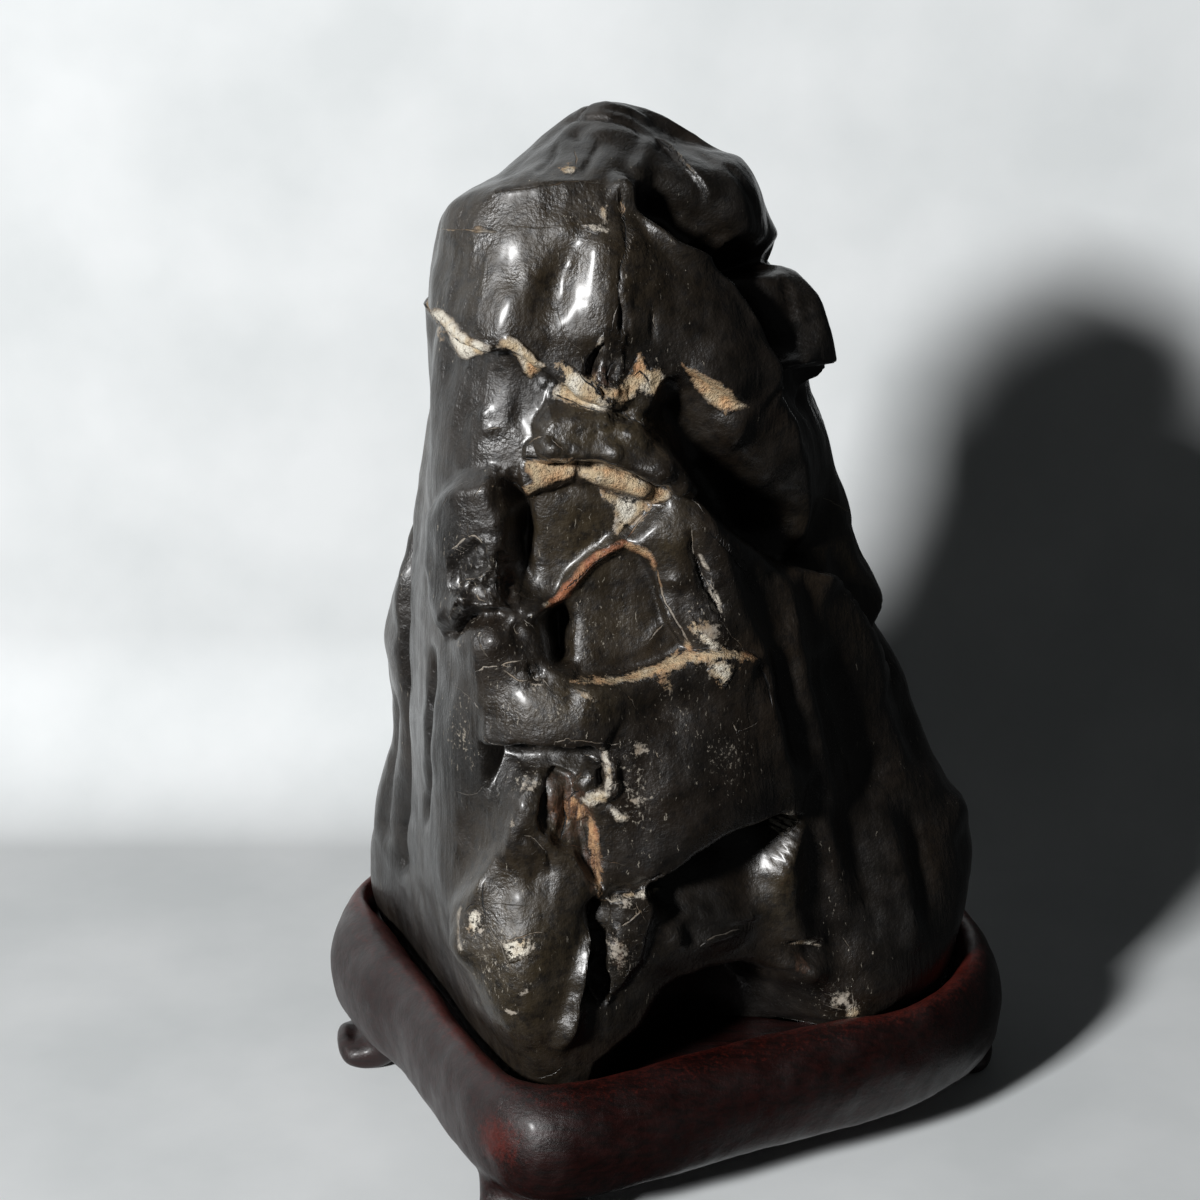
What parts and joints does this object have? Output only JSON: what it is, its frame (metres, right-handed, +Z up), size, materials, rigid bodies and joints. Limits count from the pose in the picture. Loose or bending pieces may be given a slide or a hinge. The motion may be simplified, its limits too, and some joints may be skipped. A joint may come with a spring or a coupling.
{
  "type": "scholars rock",
  "caption": "Tall, polished dark scholar's rock with folded ledges, ribs and a cave at its foot, seated in a carved hardwood stand on scrolled feet.",
  "frame": {"origin": "on the floor plane, under the middle of the stand's bounding box", "axes": "+Z up, -Y towards the side the stone is shown from, +X to the right of a viewer who faces that side"},
  "size_m": [0.17, 0.1551, 0.2493],
  "materials": {
    "stone": "gloss",
    "stand": "satin"
  },
  "bodies": {
    "root": {"stone": "stone", "stand": "stand"}
  },
  "joints": []
}
